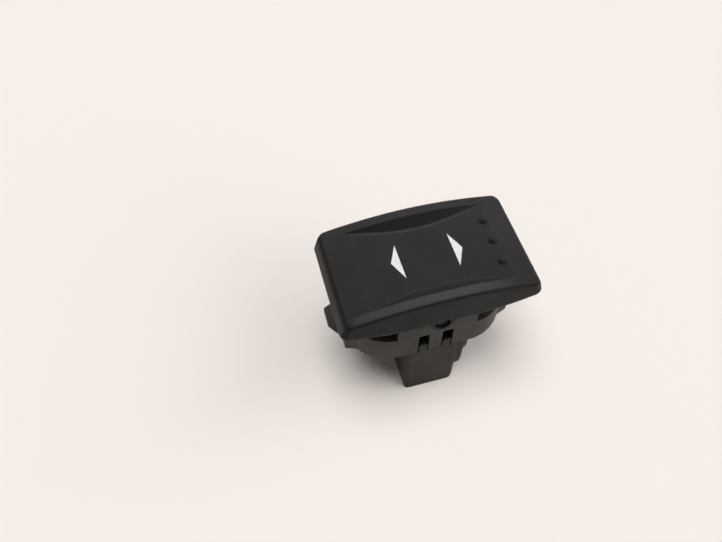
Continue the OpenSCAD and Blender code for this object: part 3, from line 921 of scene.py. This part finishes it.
    def bump_domes(self, x: np.ndarray, y: np.ndarray) -> np.ndarray:
        """Height of the three bumps, each the cap of a sphere, and far below the top elsewhere.

        Past a share of the sphere's radius the height falls off as a cone.

        Args:
            x: places along the cap.
            y: places across the cap.

        Returns:
            Heights of the bumps.
        """
        half = self.bump_width / 2
        radius = (half**2 + self.bump_height**2) / (2 * self.bump_height)
        foot = float(self.face_height(np.array(self.bump_x)))
        nearest = y - self.bump_pitch * np.clip(np.round(y / self.bump_pitch), -1, 1)
        away = np.hypot(x - self.bump_x, nearest)
        inside = np.minimum(away, radius * self.bump_share)
        fall = self.bump_fall * (away - inside)
        return foot + self.bump_height - radius + np.sqrt(radius**2 - inside**2) - fall

    def lower_edge(self, x: np.ndarray, y: np.ndarray) -> np.ndarray:
        """Height of the skirt's lower edge: a sagging arc, and on the sides the round of the lugs.

        Past the lug's radius its round goes on as a steep line, so that the arc is the lower one.

        Args:
            x: places along the cap.
            y: places across the cap.

        Returns:
            Heights of the edge.
        """
        sag = self.sag(x + self.lean(x, np.full_like(x, self.end_foot)))
        inside = np.minimum(np.abs(x), self.lug_radius)
        past = self.lug_rise * (np.abs(x) - inside)
        lug = self.pivot - np.sqrt(self.lug_radius**2 - inside**2) + past
        on_side = np.abs(y) > self.half_width - self.lip
        return np.where(on_side, soft_min(sag, lug, self.lug_blend), sag)

    def skin(self) -> bpy.types.Object:
        """Closed wall of the cap, before its openings are cut.

        The top is a grid of heights, the skirt carries the grid's border down to the lower edge, and
        the wall and the roof inside are the same grid, drawn in.

        Returns:
            The cap's object.
        """
        x, y = self.plan(0.0)
        rows, columns = x.shape
        top = np.stack([x, y, self.top_height(x, y)], axis=-1).reshape(-1, 3)
        border = border_loop(rows, columns)
        low = self.lower_edge(top[border, 0], top[border, 1])
        profile = self.skirt_profile(top[border, 2], low)
        rings = [self.ring(border, inset, height) for inset, height in profile]
        in_x, in_y = self.plan(self.wall)
        under = arch(self.crown - self.roof, self.rim_arch - self.roof, in_x)
        inside = np.stack([in_x, in_y, under], axis=-1).reshape(-1, 3)
        points = np.concatenate([top, *rings, inside])
        points[:, 0] += self.lean(points[:, 0], points[:, 2])
        starts = len(top) + len(border) * np.arange(len(rings) + 1)
        loops = [border, *(start + np.arange(len(border)) for start in starts[:-1]), starts[-1] + border]
        faces = grid_faces(rows, columns)
        quads = np.concatenate([faces, loop_faces(loops), faces[:, ::-1] + starts[-1]])
        return mesh_object("rocker_cap_skin", points, quads.tolist())

    def skirt_profile(self, top: np.ndarray, low: np.ndarray) -> list[tuple[float, np.ndarray]]:
        """Section of the skirt, carried round the outline: down, round the lip, and up inside.

        Args:
            top: height of the skirt's start, round the outline.
            low: height of its lower edge.

        Returns:
            Distance from the outline and heights, for each ring of points.
        """
        shares = np.linspace(0.0, 1.0, self.grid.skirt_rows + 1)[1:-1]
        down = [(0.0, top + share * (low + self.lip - top)) for share in shares]
        angles = np.linspace(0.0, math.pi / 2, self.grid.lip_angles)
        outer = [(self.lip * (1 - math.cos(a)), low + self.lip * (1 - math.sin(a))) for a in angles]
        inner = [(self.wall - inset, height) for inset, height in reversed(outer)]
        return [*down, *outer, *inner]

    def ring(self, border: np.ndarray, inset: float, height: np.ndarray) -> np.ndarray:
        """One ring of points at a distance inside the outline."""
        x, y = self.plan(inset)
        return np.stack([x.ravel()[border], y.ravel()[border], height], axis=1)

    def arrow_cutter(self, side: Side) -> bpy.types.Object:
        """Upright prism of one arrow, which points to its end of the cap.

        Args:
            side: the end.

        Returns:
            The cutter's object.
        """
        foot, tip = side.value * (self.arrow_tip - self.arrow_height), side.value * self.arrow_tip
        plan = np.array([[foot, -self.arrow_base / 2], [tip, 0.0], [foot, self.arrow_base / 2]])
        levels = (self.crown - 2 * self.roof, self.crown + self.roof)
        rings = [np.column_stack([plan, np.full(len(plan), level)]) for level in levels]
        return closed_rings(f"arrow_cutter_{side.word}", np.stack(rings))

    def bore_cutter(self) -> bpy.types.Object:
        """Round bar through both lugs, which widens by the chamfer at the outside of the skirt.

        Its radius is carried along Y and turned about the pivot axis.

        Returns:
            The cutter's object.
        """
        face, over = self.half_width, self.bore_chamfer
        places = np.array([-face - over, -face + over, face - over, face + over])
        radii = self.bore_radius + np.array([2 * over, 0.0, 0.0, 2 * over])
        turn = np.linspace(0.0, 2 * math.pi, self.grid.bore_sides, endpoint=False)
        along, angle = np.meshgrid(places, turn, indexing="ij")
        reach = np.repeat(radii, len(turn)).reshape(along.shape)
        rings = np.stack([reach * np.cos(angle), along, self.pivot + reach * np.sin(angle)], axis=-1)
        return closed_rings("bore_cutter", rings)

    def rib(self, side: Side) -> bpy.types.Object:
        """Rounded block that pushes a plunger, with its root inside the roof.

        Args:
            side: the end that the rib is on.

        Returns:
            The rib's object.
        """
        level = self.crown - self.roof * self.rib_root
        root = float(arch(level, self.rim_arch, np.array(self.rib_place)))
        foot = self.pivot - self.rib_reach
        size = np.array([self.rib_thickness, self.rib_length, root - foot])
        centre = np.array([side.value * self.rib_place, 0.0, (root + foot) / 2])
        return closed_rings(f"rib_{side.word}", rounded_block(size, centre, self.rib_edge))

    def mark_edges(self, cap: bpy.types.Object) -> None:
        """Stores how much paler each point is painted, as the attribute edge.

        On the edges it is scuffing: a bell curve of the distance from the start of the edge rounding, on
        the top only, and of the height above the lower edge. The end walls get an even painted highlight.
        The two long rims get painted highlights that fade to their ends, the near one more than the far
        one, and the line where the far hollow wall meets the face gets a painted highlight too.

        Args:
            cap: the finished cap.
        """
        wear_and_highlights = self.wear_and_highlights
        places = np.empty(len(cap.data.vertices) * 3, np.float32)
        cap.data.vertices.foreach_get("co", places)
        x, y, z = places.reshape(-1, 3).T / MM
        x = x - self.lean(x, z)
        distance, edge = self.outline_distance(x, y)
        high = z > self.pivot + self.skirt_depth / 2
        upper = np.exp(-(((distance - edge * wear_and_highlights.top_edge_place) / wear_and_highlights.top_edge_width) ** 2)) * high
        lower = np.exp(-(((z - self.lower_edge(x, y)) / wear_and_highlights.foot_edge_width) ** 2))
        on_top = (distance > wear_and_highlights.top_start * edge) * high
        # Painted highlights on the long rims, fading along the cap
        outward = np.abs(y) - self.half_width + self.rim_width
        on_rim = np.clip(outward / wear_and_highlights.rim_fade, 0.0, 1.0) * on_top
        fade = np.where(x < 0.0, wear_and_highlights.left_fade, wear_and_highlights.right_fade)
        along = np.clip(1.0 - fade * (x / self.half_length) ** 2, 0.0, 1.0)
        along *= np.clip((self.half_length - self.end_edge - np.abs(x)) / wear_and_highlights.end_fade, 0.0, 1.0)
        rims = on_rim * along * np.where(y < 0.0, wear_and_highlights.near_rim_highlight, wear_and_highlights.far_rim_highlight)
        # Painted highlight on the end walls, joined to the scuffed edges
        on_end = (np.abs(x) > self.half_length - self.lip) * (z < self.crown - self.end_edge)
        edges = wear_and_highlights.top_edge * upper + wear_and_highlights.foot_edge * lower + wear_and_highlights.end_wall_highlight * on_end
        # Painted highlight along the line where the far hollow wall meets the face
        marks = np.maximum(np.maximum(rims, edges), wear_and_highlights.crease_highlight * self.crease_highlight(x, y) * on_top)
        rubbed_and_highlight = cap.data.attributes.new(WEAR_AND_HIGHLIGHT_MARK, "FLOAT", "POINT")
        rubbed_and_highlight.data.foreach_set("value", np.clip(marks, 0.0, 1.0).astype(np.float32))

    def build(self) -> None:
        """Builds the cap, joins its ribs, cuts its openings, dresses it and seats it on the rocker."""
        cap = self.skin()
        tools = [(self.rib(side), "UNION") for side in Side]
        tools += [(self.arrow_cutter(side), "DIFFERENCE") for side in Side]
        tools.append((self.bore_cutter(), "DIFFERENCE"))
        for tool, operation in tools:
            step = cap.modifiers.new(tool.name, "BOOLEAN")
            step.operation, step.solver, step.object = operation, "EXACT", tool
        bake_modifiers(cap)
        for tool, _ in tools:
            bpy.data.objects.remove(tool)
        smooth_faces(cap, self.sharp_degrees)
        self.mark_edges(cap)
        dress(cap, CAP_BLACK.material())
        add_piece(cap, "rocker", "rocker_cap")


@dataclass
class MouldedBody:
    """Oval housing and the base with its plug socket: copies of their solids with softened edges.

    Faces of a rounding carry the material number ROUNDED until their points are marked.
    """

    ROUNDED = 1

    edge: float = 0.15
    edge_steps: int = 2
    sharp_degrees: float = 32.0
    flat_degrees: float = 0.5
    weld: float = 0.02
    level_weight: int = 100

    def softened(self, node: str) -> bpy.types.Object:
        """Copy of a node with merged points and a small rounding on its edges.

        The rounding is neither limited nor slid along by the short edges between the triangles, which
        would shrink it to nothing or throw its points.

        Args:
            node: name of the node to copy.

        Returns:
            The copy, in the scene.
        """
        piece = bpy.data.objects.new(f"{node}_moulding", frame["nodes"][node].data.copy())
        bpy.context.scene.collection.objects.link(piece)
        form = bmesh.new()
        form.from_mesh(piece.data)
        bmesh.ops.remove_doubles(form, verts=form.verts, dist=self.weld * MM)
        flat = math.radians(self.flat_degrees)
        bmesh.ops.dissolve_limit(form, angle_limit=flat, verts=form.verts, edges=form.edges)
        bmesh.ops.triangulate(form, faces=form.faces)
        form.to_mesh(piece.data)
        form.free()
        piece.data.materials.clear()
        for _ in range(self.ROUNDED + 1):
            piece.data.materials.append(None)
        bevel = piece.modifiers.new("edges", "BEVEL")
        bevel.width, bevel.segments, bevel.material = self.edge * MM, self.edge_steps, self.ROUNDED
        bevel.limit_method, bevel.angle_limit = "ANGLE", math.radians(self.sharp_degrees)
        bevel.use_clamp_overlap, bevel.loop_slide = False, False
        bake_modifiers(piece)
        self.mark_edges(piece)
        smooth_faces(piece, self.sharp_degrees)
        level = piece.modifiers.new("level_faces", "WEIGHTED_NORMAL")
        level.keep_sharp, level.weight = True, self.level_weight
        bake_modifiers(piece)
        return piece

    def mark_edges(self, piece: bpy.types.Object) -> None:
        """Stores 1 on points in the middle of a rounding and 0 elsewhere, as the attribute edge, which
        the finish paints paler: partly scuffing, partly a painted highlight on the rounding.

        A point is in the middle of a rounding where no other face meets it.

        Args:
            piece: the moulding, with its edges rounded.
        """
        mesh = piece.data
        number = np.empty(len(mesh.polygons), np.int32)
        mesh.polygons.foreach_get("material_index", number)
        corner_count = np.empty(len(mesh.polygons), np.int32)
        mesh.polygons.foreach_get("loop_total", corner_count)
        corners = np.empty(len(mesh.loops), np.int32)
        mesh.loops.foreach_get("vertex_index", corners)
        marks = np.ones(len(mesh.vertices), np.float32)
        marks[corners[np.repeat(number != self.ROUNDED, corner_count)]] = 0.0
        mesh.attributes.new(WEAR_AND_HIGHLIGHT_MARK, "FLOAT", "POINT").data.foreach_set("value", marks)
        mesh.polygons.foreach_set("material_index", np.zeros_like(number))
        LOG.info("%s has %d rubbed points of %d", piece.name, int(marks.sum()), len(marks))

    def build(self) -> None:
        """Builds, dresses and seats the two mouldings."""
        for node, slot, finish in (
            ("housing", "housing_plastic", BODY_BLACK),
            ("base", "base_plastic", SOCKET_BLACK),
        ):
            piece = self.softened(node)
            dress(piece, finish.material())
            add_piece(piece, "body", node)


@dataclass
class ReturnSpring:
    """Wire coil that stands on the floor of the base and carries a contact bridge."""

    side: Side
    wire: float = 0.4
    turns: float = 3.0
    steps: int = 60
    sides: int = 12
    sharp_degrees: float = 60.0

    def build(self, material: bpy.types.Material) -> None:
        """Builds the coil, which stretches between the base and its bridge.

        Its centreline is a helix of even radius, whose angle is 2 pi * turns * t and whose height
        rises with t, which goes from 0 to 1. A circle of the wire's radius is carried along it, in the
        plane of the coil's axis.

        Args:
            material: finish of the wire.
        """
        node = f"return_spring_{self.side.word}"
        low, high = (np.array(corner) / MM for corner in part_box(node))
        middle = (low + high) / 2
        radius = (high[0] - low[0]) / 2 - self.wire / 2
        t = np.linspace(0.0, 1.0, int(self.turns * self.steps) + 1)
        ring = np.linspace(0.0, 2 * math.pi, self.sides, endpoint=False)
        share, around = np.meshgrid(t, ring, indexing="ij")
        angle = 2 * math.pi * self.turns * share
        reach = radius + self.wire / 2 * np.cos(around)
        rise = low[2] + self.wire / 2 + (high[2] - low[2] - self.wire) * share
        x = middle[0] + reach * np.cos(angle)
        y = middle[1] + reach * np.sin(angle)
        rings = np.stack([x, y, rise + self.wire / 2 * np.sin(around)], axis=-1)
        coil = closed_rings(f"{node}_wire", rings)
        smooth_faces(coil, self.sharp_degrees)
        dress(coil, material)
        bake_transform(coil)
        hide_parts(node)
        LOG.info("%s bends between body and %s_contact", coil.name, self.side.word)


@dataclass
class InnerWorks:
    """Pieces inside the housing and under the cap that keep their solids and get finishes."""

    finishes: dict[str, Finish] = field(
        default_factory=lambda: {
            "symbol_insert": SYMBOL_WHITE,
            "plunger": ACETAL,
            "contact_bridge": COPPER,
            "terminal": BRASS,
            "fixed_contact": SILVER,
            "lamp_board": LAMINATE,
            "lamp": LAMP_WHITE,
            "resistor": CERAMIC,
        }
    )

    def build(self) -> None:
        """Dresses every solid whose name starts with one of the listed words, and builds the springs."""
        made = {word: finish.material() for word, finish in self.finishes.items()}
        for name, node in sorted(frame["nodes"].items()):
            words = [word for word in made if name == word or name.startswith(word + "_")]
            if not words:
                continue
            dress(node, made[max(words, key=len)])
            LOG.info("%s keeps its solid", name)
        wire = WIRE.material()
        for side in Side:
            ReturnSpring(side).build(wire)


@dataclass(frozen=True)
class SoftLamp:
    """Far lamp with a wide disc: where it stands, how wide it looks, and whether gloss shows it."""

    name: str
    way: Triple
    spread: float
    power: float
    in_gloss: bool
    colour: Colour = (1.0, 0.99, 0.98)

    def build(self) -> None:
        """Adds the lamp."""
        lamp = bpy.data.lights.new(self.name, "SUN")
        lamp.energy, lamp.color = self.power, self.colour
        lamp.angle = math.radians(self.spread)
        holder = bpy.data.objects.new(self.name, lamp)
        holder.visible_glossy = self.in_gloss
        bpy.context.scene.collection.objects.link(holder)
        holder.rotation_mode = "QUATERNION"
        holder.rotation_quaternion = Vector(self.way).normalized().to_track_quat("Z", "Y")


@dataclass(frozen=True)
class ReflectorCard:
    """Pale card behind the switch, which only gloss shows."""

    way: Triple = (0.05, 0.70, 0.71)
    distance: float = 1000.0
    width: float = 2000.0
    height: float = 1000.0
    radiance: float = 3.9

    def build(self) -> None:
        """Adds the card as a flat lamp, whose power is pi times its area times its radiance."""
        lamp = bpy.data.lights.new("card", "AREA")
        lamp.shape, lamp.size, lamp.size_y = "RECTANGLE", self.width * MM, self.height * MM
        lamp.energy = math.pi * self.width * self.height * MM**2 * self.radiance
        holder = bpy.data.objects.new("card", lamp)
        holder.visible_camera = False
        holder.visible_diffuse = False
        bpy.context.scene.collection.objects.link(holder)
        facing = Vector(self.way).normalized()
        holder.location = facing * self.distance * MM
        holder.rotation_mode = "QUATERNION"
        holder.rotation_quaternion = facing.to_track_quat("Z", "Y")


@dataclass
class Studio:
    """Pale floor, dim sky, soft lamps above and on the right, a card behind, and the camera."""

    camera_place: Triple = (-38.504, -83.077, 172.593)
    camera_forward: Triple = (0.14550, 0.54369, -0.82658)
    camera_up: Triple = (0.22221, 0.79616, 0.56280)
    lens: float = 32.52
    sensor: float = 36.0
    nearest: float = 10.0
    floor_half: float = 3000.0
    floor_colour: Colour = (0.92, 0.86, 0.82)
    floor_roughness: float = 0.9
    floor_gloss: float = 0.1
    sky: Colour = (0.10, 0.10, 0.10)
    top_lamp: SoftLamp = SoftLamp(
        "top_lamp", way=(-0.12, -0.03, 1.0), spread=32.0, power=1.84, in_gloss=False
    )
    side_lamp: SoftLamp = SoftLamp(
        "side_lamp", way=(0.78, -0.36, 0.50), spread=76.0, power=2.0, in_gloss=True
    )
    card: ReflectorCard = ReflectorCard()

    def build(self) -> None:
        """Sets up the floor, the light and the camera."""
        bpy.context.scene.view_settings.view_transform = "Standard"
        self.add_floor()
        self.add_sky()
        self.top_lamp.build()
        self.side_lamp.build()
        self.card.build()
        self.add_camera()

    def add_floor(self) -> None:
        """Lays the floor at the height that the switch stands on."""
        far = self.floor_half
        points = np.array([[-far, -far, 0.0], [far, -far, 0.0], [far, far, 0.0], [-far, far, 0.0]])
        floor = mesh_object("floor", points, [[0, 1, 2, 3]])
        graph = NodeGraph("floor_paint")
        graph.dress(
            Base_Color=self.floor_colour,
            Roughness=self.floor_roughness,
            Specular_IOR_Level=self.floor_gloss,
        )
        dress(floor, graph.material)

    def add_sky(self) -> None:
        """Dim even light from all round, which the camera, gloss and glass see as pale as the floor."""
        world = bpy.data.worlds.new("studio_sky")
        world.use_nodes = True
        tree = world.node_tree
        rays = tree.nodes.new("ShaderNodeLightPath")
        seen = rays.outputs["Is Camera Ray"]
        for kind in ("Is Glossy Ray", "Is Transmission Ray"):
            either = tree.nodes.new("ShaderNodeMath")
            either.operation = "MAXIMUM"
            tree.links.new(seen, either.inputs[0])
            tree.links.new(rays.outputs[kind], either.inputs[1])
            seen = either.outputs["Value"]
        tone = tree.nodes.new("ShaderNodeMix")
        tone.data_type = "RGBA"
        tree.links.new(seen, tone.inputs[0])
        tone.inputs[NodeGraph.COLOUR_A].default_value = solid(self.sky)
        tone.inputs[NodeGraph.COLOUR_B].default_value = solid(self.floor_colour)
        tree.links.new(tone.outputs[NodeGraph.COLOUR_OUT], tree.nodes["Background"].inputs["Color"])
        bpy.context.scene.world = world

    def add_camera(self) -> None:
        """Places the camera where the picture was taken from, with its own roll."""
        lens = bpy.data.cameras.new("camera")
        lens.lens, lens.sensor_width, lens.sensor_fit = self.lens, self.sensor, "HORIZONTAL"
        lens.clip_start, lens.clip_end = self.nearest * MM, 2.0 * self.floor_half * MM
        camera = bpy.data.objects.new("camera", lens)
        bpy.context.scene.collection.objects.link(camera)
        forward = Vector(self.camera_forward).normalized()
        right = forward.cross(Vector(self.camera_up)).normalized()
        turn = Matrix((right, right.cross(forward), -forward)).transposed()
        camera.matrix_world = Matrix.Translation(Vector(self.camera_place) * MM) @ turn.to_4x4()
        bpy.context.scene.camera = camera


def main() -> None:
    """Builds the switch and the studio round it."""
    logging.basicConfig(level=logging.INFO, format="%(message)s")
    Studio().build()
    RockerCap().build()
    MouldedBody().build()
    InnerWorks().build()


if __name__ == "__main__":
    main()
